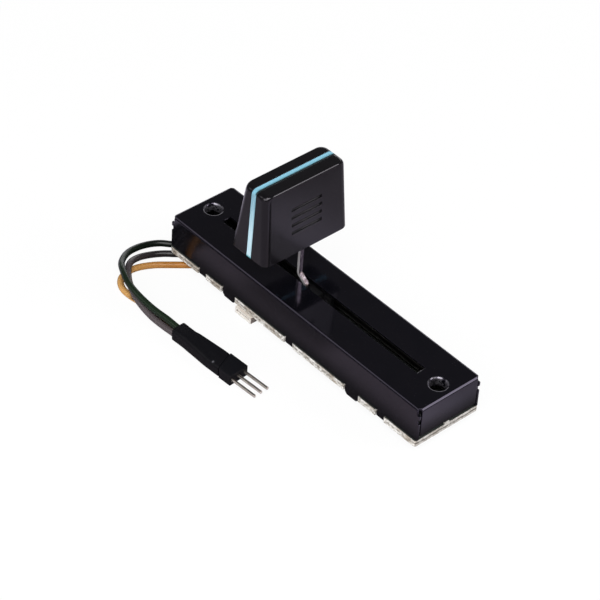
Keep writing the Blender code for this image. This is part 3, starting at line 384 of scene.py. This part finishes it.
def knob_black():
    """Satin black moulding with a fine spark-eroded grain."""
    paint = Paint("knob_black_look")
    rubbed_grey = (0.05, 0.048, 0.055)
    faint_violet = (0.97, 0.91, 1.0)
    grain = paint.noise(5200.0, roughness=0.6)
    cloud = paint.noise(330.0, detail=3.0)
    rub = paint.step(paint.noise(1400.0, detail=3.0, roughness=0.7), 0.60, 0.85)
    color = paint.mix(cloud, (0.0022, 0.0020, 0.0026), (0.0042, 0.0038, 0.0048))
    color = paint.mix(rub * 0.08, color, rubbed_grey)
    rough = paint.spread(grain, 0.15, 0.21) + rub * 0.05
    paint.set(Base_Color=color, Roughness=rough, Level=0.42, Tint=faint_violet)
    return paint.bump(grain, KNOB_GRAIN_DEPTH).material


def knob_blue():
    """Blue plate: painted shade darkens its top towards the front half, a painted sheen turns its long
    edges paler lower down, and painted shade darkens their front.
    """
    paint = Paint("knob_blue_look")
    half_shade_blue = (0.160, 0.390, 0.490)
    in_shade = (0.003, 0.010, 0.014)
    edge_blue = (0.185, 0.390, 0.500)
    sheen_blue = (0.510, 0.715, 0.805)
    front_shade_blue = (0.10, 0.24, 0.30)
    foot_teal = (0.02, 0.28, 0.31)
    streak_blue = (0.52, 0.64, 0.70)
    low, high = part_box("knob_stripe")
    sheen_level = low[2] + STRIPE_SHEEN_SHARE * (high[2] - low[2])
    foot = [low[2] + rise for rise in STRIPE_FOOT]
    height = paint.axis("Z")
    across = paint.between(paint.axis("X"), low[0], high[0])
    cloud = paint.noise(600.0, detail=3.0)
    streak = paint.noise(2500.0, stretch=(1.0, 1.0, 0.06))
    top = paint.mix(cloud, (0.215, 0.490, 0.630), (0.245, 0.545, 0.700))
    # Painted shade: the top darkens from the rear towards the front half
    top = paint.mix(paint.step(across, 0.34, 0.68), top, half_shade_blue)
    top = paint.mix(paint.step(across, 0.64, 0.82), top, in_shade)
    # Painted sheen: the long edges turn paler lower down
    edge = paint.mix(paint.step(height, high[2], sheen_level), edge_blue, sheen_blue)
    # Painted shade at the front of the long edges
    edge = paint.mix(paint.step(across, 0.80, 1.0) * 0.5, edge, front_shade_blue)
    edge = paint.mix(paint.step(height, *foot), edge, foot_teal)
    edge = paint.mix(paint.step(streak, 0.45, 0.75) * 0.18, edge, streak_blue)
    color = paint.mix(paint.sides("Y", 0.80, 1.0), top, edge)
    paint.set(Base_Color=color, Roughness=paint.spread(cloud, 0.30, 0.42), Level=0.4)
    return paint.bump(streak, DRAWN_DEPTH).material


def nickel():
    """Plated strip, faintly drawn along its length, matt on its sheared edges, stained where it bends."""
    paint = Paint("stem_nickel_look")
    sheared_grey = (0.42, 0.40, 0.41)
    stain_brown = (0.080, 0.058, 0.050)
    draw = paint.noise(6500.0, stretch=(1.0, 1.0, 0.05))
    dull = paint.step(paint.noise(1500.0, detail=3.0, roughness=0.6), 0.38, 0.62)
    sheared = paint.sides("Y", 0.75, 0.95)
    bent = paint.step(paint.facing("Z"), 0.2, 0.5)
    stain = paint.step(paint.noise(2400.0, detail=3.0, roughness=0.6), 0.44, 0.58)
    color = paint.mix(dull, (0.13, 0.105, 0.125), (0.32, 0.28, 0.31))
    color = paint.mix(sheared, color, sheared_grey)
    color = paint.mix(bent * (stain * 0.55 + 0.20), color, stain_brown)
    rough = paint.spread(draw, 0.16, 0.30) + sheared * 0.35
    paint.set(Base_Color=color, Metallic=1.0 - sheared * 0.75, Roughness=rough)
    return paint.bump(draw, DRAWN_DEPTH).material


def bare_metal(name, dark, light, low, high):
    """Ground or rolled metal with marks along its length."""
    paint = Paint(name)
    marks = paint.noise(4200.0, stretch=(0.05, 1.0, 1.0))
    color = paint.mix(paint.noise(700.0, detail=3.0, roughness=0.6), dark, light)
    paint.set(Base_Color=color, Metallic=1.0, Roughness=paint.spread(marks, low, high))
    return paint.bump(marks, MARKS_DEPTH).material


def pin_tin():
    """Tinned square pins: bright drawn sides and a dull brown top."""
    paint = Paint("tin_look")
    marks = paint.noise(4200.0, stretch=(0.05, 1.0, 1.0))
    cloud = paint.noise(900.0, detail=3.0, roughness=0.6)
    side = paint.mix(cloud, (0.52, 0.47, 0.42), (0.80, 0.76, 0.71))
    top = paint.mix(cloud, (0.14, 0.11, 0.10), (0.30, 0.26, 0.23))
    color = paint.mix(paint.step(paint.facing("Z"), 0.5, 0.9), side, top)
    paint.set(Base_Color=color, Metallic=0.85, Roughness=paint.spread(marks, 0.18, 0.34))
    return paint.bump(marks, MARKS_DEPTH).material


def moulding(name, dark, light, rough, grain=4200.0, level=0.5):
    """A plain moulded or printed surface with a fine grain."""
    paint = Paint(name)
    fine = paint.noise(grain, roughness=0.6)
    color = paint.mix(paint.noise(420.0, detail=3.0, roughness=0.6), dark, light)
    paint.set(Base_Color=color, Roughness=paint.spread(fine, rough * 0.85, rough * 1.15), Level=level)
    return paint.bump(fine, MOULD_DEPTH).material


def socket_cream():
    """Cream moulding with lengthwise bands, browner at its ends."""
    paint = Paint("socket_cream_look")
    band_brown = (0.50, 0.42, 0.34)
    end_brown = (0.15, 0.105, 0.095)
    band = paint.noise(1500.0, detail=1.0, stretch=(0.05, 0.05, 1.0))
    cloud = paint.noise(900.0, detail=3.0, roughness=0.6)
    color = paint.mix(cloud, (0.74, 0.69, 0.63), (0.88, 0.85, 0.81))
    color = paint.mix(paint.step(band, 0.50, 0.62) * 0.45, color, band_brown)
    color = paint.mix(paint.sides("X", 0.5, 0.9) * 0.85, color, end_brown)
    paint.set(Base_Color=color, Roughness=paint.spread(cloud, 0.42, 0.58), Level=0.4)
    return paint.bump(band, BAND_DEPTH).material


def wire_skin(name, dark, light, rough, shaded_under=False):
    """Soft insulation: painted shade near the case gives way to a paler painted lit colour lower down,
    and painted shade darkens its top where other wires lie on it.
    """
    paint = Paint(name)
    under_shade_black = (0.010, 0.008, 0.007)
    cloud = paint.noise(380.0, detail=3.0, roughness=0.6)
    marks = paint.step(paint.noise(2400.0, detail=3.0, roughness=0.7), 0.58, 0.80)
    # Painted shade near the case, turning to a painted lit colour lower down
    out_of_shade = paint.step(paint.axis("Y"), *WIRE_OUT_OF_SHADE)
    color = paint.mix(out_of_shade ** 2.0 * 0.9 + cloud * 0.15, dark, light)
    if shaded_under:
        # Painted shade on its top where the other wires lie over it
        under_shade = paint.step(paint.axis("X"), *SHADED_UNDER_X) * paint.step(paint.facing("Z"), 0.0, 0.4)
        color = paint.mix(under_shade * 0.95, color, under_shade_black)
    skin_rough = paint.spread(cloud, rough * 0.85, rough * 1.1) + marks * 0.12
    paint.set(Base_Color=color, Roughness=skin_rough, Level=0.32)
    return paint.bump(paint.noise(1700.0), SKIN_DEPTH, 0.6).material


def shrink_sleeve():
    """Shrunk tube: satin, with long soft creases and one rubbed spot."""
    paint = Paint("sleeve_look")
    rubbed_grey = (0.12, 0.12, 0.135)
    crease = paint.noise(1100.0, stretch=(0.18, 1.0, 1.0))
    fine = paint.noise(5200.0, roughness=0.6)
    spots = {0: paint.place(), 1: RUBBED_SPOT}
    away = paint.node("ShaderNodeVectorMath", {"operation": "DISTANCE"}, spots, output="Value")
    color = paint.mix(crease, (0.0022, 0.0022, 0.0034), (0.0046, 0.0044, 0.0060))
    color = paint.mix(paint.step(away, *RUBBED_EDGE) * 0.9, color, rubbed_grey)
    paint.set(Base_Color=color, Roughness=paint.spread(fine, 0.40, 0.52), Level=0.15)
    return paint.bump(crease * 3.0 + fine * 0.3, CREASE_DEPTH).material


def all_materials():
    """Every material by its slot in the record."""
    return {
        "black_paint": cover_paint(),
        "board_epoxy": board_epoxy(),
        "browned_steel": bare_metal(
            "rod_steel_look", (0.020, 0.019, 0.019), (0.040, 0.037, 0.036), 0.30, 0.44),
        "stem_nickel": nickel(),
        "dark_acetal": moulding(
            "acetal_look", (0.008, 0.008, 0.009), (0.014, 0.014, 0.016), 0.42),
        "stop_rubber": moulding(
            "rubber_look", (0.010, 0.010, 0.010), (0.018, 0.018, 0.018), 0.80, grain=2600.0),
        "spring_bronze": bare_metal(
            "bronze_look", (0.46, 0.26, 0.12), (0.68, 0.44, 0.22), 0.22, 0.36),
        "carbon_ink": moulding(
            "carbon_look", (0.012, 0.012, 0.012), (0.022, 0.022, 0.022), 0.55),
        "silver_ink": moulding(
            "silver_ink_look", (0.42, 0.42, 0.40), (0.58, 0.58, 0.56), 0.40),
        "knob_black": knob_black(),
        "knob_blue": knob_blue(),
        "cream_plastic": socket_cream(),
        "tin_plate": pin_tin(),
        "plug_black": moulding(
            "plug_block_look", (0.0022, 0.0024, 0.0038), (0.0046, 0.0046, 0.0064), 0.50, level=0.16),
        "sleeve_black": shrink_sleeve(),
        # Each wire's first colour is its painted shade, the second its painted lit colour
        "wire_green_skin": wire_skin(
            "green_skin_look", (0.0022, 0.0044, 0.0030), (0.0080, 0.0170, 0.0080), 0.30),
        "wire_grey_skin": wire_skin(
            "grey_skin_look", (0.0045, 0.0040, 0.0046), (0.0800, 0.0660, 0.0700), 0.28),
        "wire_orange_skin": wire_skin(
            "orange_skin_look", (0.34, 0.125, 0.016), (0.60, 0.330, 0.110), 0.36, shaded_under=True),
    }


# Pieces

def round_edges(piece, width, weld_gap=WELD):
    """Even shading, and the small round that light catches on each edge."""
    for polygon in piece.data.polygons:
        polygon.use_smooth = True
    weld = piece.modifiers.new("weld", "WELD")
    weld.merge_threshold = weld_gap
    flats = piece.modifiers.new("flats", "DECIMATE")
    flats.decimate_type = "DISSOLVE"
    flats.angle_limit = FLAT_ANGLE
    if width:
        rounding = piece.modifiers.new("edges", "BEVEL")
        rounding.width = width
        rounding.segments = EDGE_STEPS
        rounding.limit_method = "ANGLE"
        rounding.angle_limit = EDGE_ANGLE
        rounding.use_clamp_overlap = False
        rounding.miter_outer = "MITER_ARC"
    normals = piece.modifiers.new("normals", "WEIGHTED_NORMAL")
    normals.keep_sharp = False
    normals.weight = FLAT_WEIGHT


def dress(materials):
    """Give every solid its material and its rounded edges. The cover's slivers are welded shut first."""
    for part in frame["record"]["subparts"]:
        name = part["node"]
        piece = NODES[name]
        for slot in piece.material_slots:
            slot.material = materials[part["material_slot"]]
        weld_gap = COVER_WELD if name == "case_cover" else WELD
        round_edges(piece, EDGE_ROUND.get(name), weld_gap)


def curve_through(route, step):
    """A smooth curve through given points, read off at an even step."""
    spots = [Vector(spot) for spot in route]
    spots = [2 * spots[0] - spots[1]] + spots + [2 * spots[-1] - spots[-2]]
    fine = []
    parts_per_span = 16
    for a, b, c, d in zip(spots, spots[1:], spots[2:], spots[3:]):
        for k in range(parts_per_span):
            t = k / parts_per_span
            fine.append(0.5 * (2 * b + (c - a) * t + (2 * a - 5 * b + 4 * c - d) * t ** 2
                               + (3 * b - a - 3 * c + d) * t ** 3))
    fine.append(spots[-2])
    total = sum((b - a).length for a, b in zip(fine, fine[1:]))
    count = max(2, round(total / step))
    marks = [total * k / count for k in range(count + 1)]
    result = [fine[0]]
    walked = 0.0
    for a, b in zip(fine, fine[1:]):
        span = (b - a).length
        while len(result) < count and marks[len(result)] <= walked + span:
            result.append(a.lerp(b, (marks[len(result)] - walked) / span))
        walked += span
    result.append(fine[-1])
    return result, total


def plug_block(material):
    """The header's block as the sleeve leaves it, its rear face drawn back to the sleeve's edge."""
    node = NODES["plug_block"]
    block = bpy.data.objects.new("header_block", node.data.copy())
    bpy.context.scene.collection.objects.link(block)
    turn = Matrix.Translation(PLUG_PLACE) @ Matrix.Rotation(PLUG_TURN, 4, "Z")
    back = turn.inverted()
    for vertex in block.data.vertices:
        spot = back @ vertex.co
        if abs(spot.x + BLOCK_LENGTH) < ON_REAR_FACE:
            spot.x = -SLEEVE_EDGE - SLEEVE_LEAN * spot.y / (BLOCK_WIDTH / 2.0)
            vertex.co = turn @ spot
    block.data.materials.clear()
    block.data.materials.append(material)
    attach(block, "housing")
    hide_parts("plug_block")
    round_edges(block, EDGE_ROUND["plug_block"])
    return block


def add_wire(node, material):
    """A wire's skin along its route, in place of the plain solid."""
    points, length = curve_through(WIRE_ROUTES[node], WIRE_STEP)
    curve = bpy.data.curves.new(f"{node}_skin", "CURVE")
    curve.dimensions = "3D"
    curve.bevel_depth = WIRE_DIAMETER / 2.0
    curve.bevel_resolution = WIRE_ROUND
    curve.use_fill_caps = True
    spline = curve.splines.new("POLY")
    spline.points.add(len(points) - 1)
    for spot, place in zip(spline.points, points):
        spot.co = (*place, 1.0)
    spline.use_smooth = True
    curve.materials.append(material)
    wire = bpy.data.objects.new(f"{node}_skin", curve)
    bpy.context.scene.collection.objects.link(wire)
    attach(wire, "housing")
    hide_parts(node)


# Stage

def add_camera():
    """The camera that was fitted to the case's corners in the photo."""
    camera = bpy.data.objects.new("camera", bpy.data.cameras.new("camera"))
    bpy.context.scene.collection.objects.link(camera)
    right, up = Vector(CAMERA_RIGHT), Vector(CAMERA_UP)
    turn = Matrix((right, up, right.cross(up))).transposed().to_4x4()
    camera.matrix_world = Matrix.Translation(CAMERA_PLACE) @ turn
    camera.data.lens = CAMERA_LENS
    camera.data.sensor_width = CAMERA_SENSOR
    camera.data.clip_start = CAMERA_NEAR
    bpy.context.scene.camera = camera


def mirrored_floor(paint):
    """The floor's colour in reflections, with painted light and shade."""
    x, y = paint.axis("X"), paint.axis("Y")
    from_side = y.math("ABSOLUTE")
    from_case = (x.math("ABSOLUTE") - CASE_HALF[0]).math("MAXIMUM", from_side - CASE_HALF[1])
    pale = paint.step(x, *PALE_FROM_RIGHT).math("MAXIMUM", paint.step(y, *PALE_FROM_Y))
    pale = pale.math("MAXIMUM", paint.step(x, *PALE_FROM_LEFT))
    past_end = paint.step(x, CASE_HALF[0] - CLOSE[0], CASE_HALF[0])
    by_corner = paint.step(y, *CORNER_SHADE_FROM) * past_end * CORNER_SHADE
    by_plug = paint.step(x, *PLUG_SHADE_RIGHT) * paint.step(x, *PLUG_SHADE_LEFT)
    by_plug = by_plug * paint.step(y, *PLUG_SHADE_FROM) * PLUG_SHADE
    by_wires = paint.step(x, *WIRES_SHADE_RIGHT) * paint.step(x, *WIRES_SHADE_LEFT)
    by_wires = by_wires * paint.step(y, *WIRES_SHADE_FROM)
    in_front = by_plug.math("MAXIMUM", by_wires) * paint.step(y, *SHADE_END)
    color = paint.mix(pale, FLOOR_GREY, FLOOR_PALE)
    color = paint.mix(paint.step(from_side, *FAR), color, FLOOR_FAR)
    color = paint.mix(by_corner, color, FLOOR_DARK)
    color = paint.mix(in_front, color, FLOOR_DARK)
    return paint.mix(paint.step(from_case, *CLOSE), FLOOR_DARK, color)


def add_floor():
    """A floor that the camera sees nearly pure white with its shadow kept, and reflections see greyer."""
    bpy.ops.mesh.primitive_plane_add(size=FLOOR_SIZE, location=(0.0, 0.0, FLOOR_Z))
    floor = bpy.context.active_object
    floor.name = "floor"
    paint = Paint("floor_white")
    glossy = paint.node("ShaderNodeLightPath", output="Is Glossy Ray")
    color = paint.mix(glossy, (FLOOR_ALBEDO,) * 3, mirrored_floor(paint))
    paint.set(Base_Color=color, Roughness=1.0, Level=0.0)
    seen = paint.node("ShaderNodeLightPath", output="Is Camera Ray")
    glow = paint.node("ShaderNodeEmission", {}, {"Color": PURE_WHITE, "Strength": 1.0})
    lit = Value(paint, paint.shader.outputs[0])
    surface = paint.node("ShaderNodeMixShader", {}, {0: seen * FLOOR_GLOW, 1: lit, 2: glow})
    paint.feed(paint.tree.nodes["Material Output"].inputs["Surface"], surface)
    floor.data.materials.append(paint.material)


def add_world():
    """White where the camera sees it, a dim studio for everything else."""
    world = bpy.data.worlds.new("studio")
    bpy.context.scene.world = world
    world.use_nodes = True
    tree = world.node_tree
    background = tree.nodes["Background"]
    background.inputs["Color"].default_value = PURE_WHITE
    path = tree.nodes.new("ShaderNodeLightPath")
    strength = tree.nodes.new("ShaderNodeMapRange")
    strength.inputs["To Min"].default_value = WORLD_FILL
    strength.inputs["To Max"].default_value = WORLD_SEEN
    tree.links.new(path.outputs["Is Camera Ray"], strength.inputs["Value"])
    tree.links.new(strength.outputs[0], background.inputs["Strength"])


def add_lamps():
    """Softboxes round the part, all turned to its middle."""
    for name, (place, width, height, power) in LAMPS.items():
        lamp = bpy.data.objects.new(name, bpy.data.lights.new(name, "AREA"))
        bpy.context.scene.collection.objects.link(lamp)
        lamp.data.shape = "RECTANGLE"
        lamp.data.size = width
        lamp.data.size_y = height
        lamp.data.energy = power
        lamp.location = place
        lamp.rotation_euler = (Vector(LAMP_TARGET) - Vector(place)).to_track_quat("-Z", "Y").to_euler()


def main():
    bpy.context.scene.view_settings.view_transform = "Standard"
    add_camera()
    materials = all_materials()
    dress(materials)
    block = plug_block(materials["plug_black"])
    for node in WIRE_ROUTES:
        add_wire(node, materials[f"{node}_skin"])
    add_floor()
    add_world()
    add_lamps()


main()
